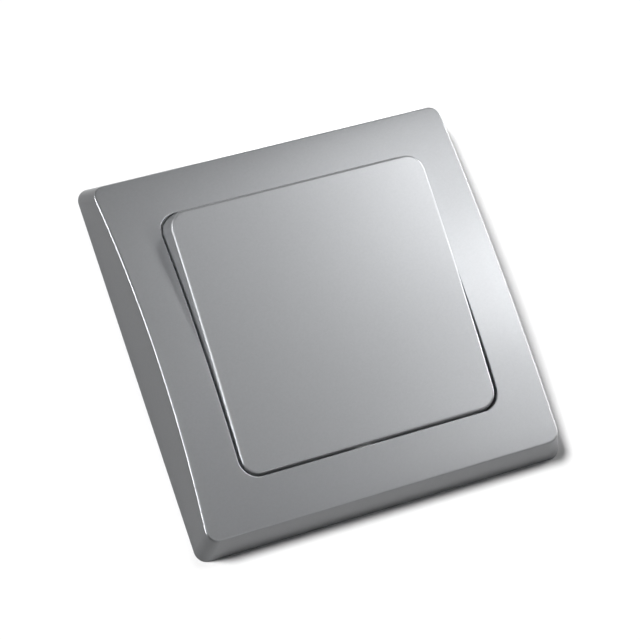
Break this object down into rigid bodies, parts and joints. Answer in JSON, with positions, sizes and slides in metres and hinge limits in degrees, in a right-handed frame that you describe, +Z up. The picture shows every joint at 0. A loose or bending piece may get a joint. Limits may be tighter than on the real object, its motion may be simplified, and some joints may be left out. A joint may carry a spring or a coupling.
{
  "type": "two-way light switch",
  "caption": "Flush two-way rocker light switch: arched square cover frame, large tilting rocker, and an insert with support ring, claws and push-in terminals.",
  "frame": {"origin": "middle of the wall's surface behind the frame", "axes": "+Z up the wall, +X to the right seen from the front, front along -Y, +Y into the wall"},
  "size_m": [0.081, 0.0384, 0.081],
  "materials": {
    "silver_lacquer": "satin silver lacquer on moulded plastic",
    "base_plastic": "light grey moulded plastic",
    "white_plastic": "white moulded plastic",
    "lever_plastic": "dark grey moulded plastic",
    "zinc_steel": "zinc plated sheet steel",
    "spring_steel": "bright spring steel",
    "copper_alloy": "bare copper alloy strip",
    "contact_silver": "silver contact metal"
  },
  "bodies": {
    "insert": {"cover_frame": "silver_lacquer", "support_ring": "zinc_steel", "switch_base": "base_plastic", "base_cover": "base_plastic", "base_rivets": "zinc_steel", "common_terminal": "copper_alloy", "upper_terminal": "copper_alloy", "lower_terminal": "copper_alloy", "fixed_contact_tips": "contact_silver", "left_clamp_springs": "spring_steel", "right_clamp_springs": "spring_steel"},
    "rocker": {"rocker": "silver_lacquer", "cradle": "white_plastic", "snap_spring": "spring_steel"},
    "plunger": {"snap_plunger": "white_plastic"},
    "contact": {"moving_contact": "copper_alloy", "moving_contact_tips": "contact_silver"},
    "left_lever": {"left_release_lever": "lever_plastic"},
    "left_claw": {"left_claw": "zinc_steel"},
    "left_claw_screw": {"left_claw_screw": "zinc_steel"},
    "right_lever": {"right_release_lever": "lever_plastic"},
    "right_claw": {"right_claw": "zinc_steel"},
    "right_claw_screw": {"right_claw_screw": "zinc_steel"}
  },
  "joints": [
    {"name": "rocker_tilt", "type": "hinge", "parent": "insert", "child": "rocker", "pos_m": [0, -0.0058, 0], "axis": [1, 0, 0], "range_deg": [-14, 0]},
    {"name": "contact_swing", "type": "hinge", "parent": "insert", "child": "contact", "pos_m": [0, 0.0096, 0], "axis": [1, 0, 0], "range_deg": [0, 14]},
    {"name": "plunger_slide", "type": "slide", "parent": "rocker", "child": "plunger", "axis": [0, -0.9925, -0.1219], "range_m": [0, 0.001], "stiffness_N_per_m": 800, "deforming": ["snap_spring"]},
    {"name": "left_lever_press", "type": "slide", "parent": "insert", "child": "left_lever", "axis": [0, -1, 0], "range_m": [0, 0.0015], "stiffness_N_per_m": 1500, "deforming": ["left_clamp_springs"]},
    {"name": "left_claw_swing", "type": "hinge", "parent": "insert", "child": "left_claw", "pos_m": [-0.0199, -0.0005, 0], "axis": [0, 0, 1], "range_deg": [0, 10]},
    {"name": "left_screw_turn", "type": "hinge", "parent": "insert", "child": "left_claw_screw", "pos_m": [-0.02363, 0, 0.009], "axis": [0, 1, 0], "range_deg": [0, 480]},
    {"name": "right_lever_press", "type": "slide", "parent": "insert", "child": "right_lever", "axis": [0, -1, 0], "range_m": [0, 0.0015], "stiffness_N_per_m": 1500, "deforming": ["right_clamp_springs"]},
    {"name": "right_claw_swing", "type": "hinge", "parent": "insert", "child": "right_claw", "pos_m": [0.0199, -0.0005, 0], "axis": [0, 0, -1], "range_deg": [0, 10]},
    {"name": "right_screw_turn", "type": "hinge", "parent": "insert", "child": "right_claw_screw", "pos_m": [0.02363, 0, -0.009], "axis": [0, 1, 0], "range_deg": [0, 480]}
  ],
  "couplings": [
    {"joint": "contact_swing", "follows": "rocker_tilt", "ratio": -1},
    {"joint": "left_screw_turn", "follows": "left_claw_swing", "ratio": 48},
    {"joint": "right_screw_turn", "follows": "right_claw_swing", "ratio": 48}
  ]
}
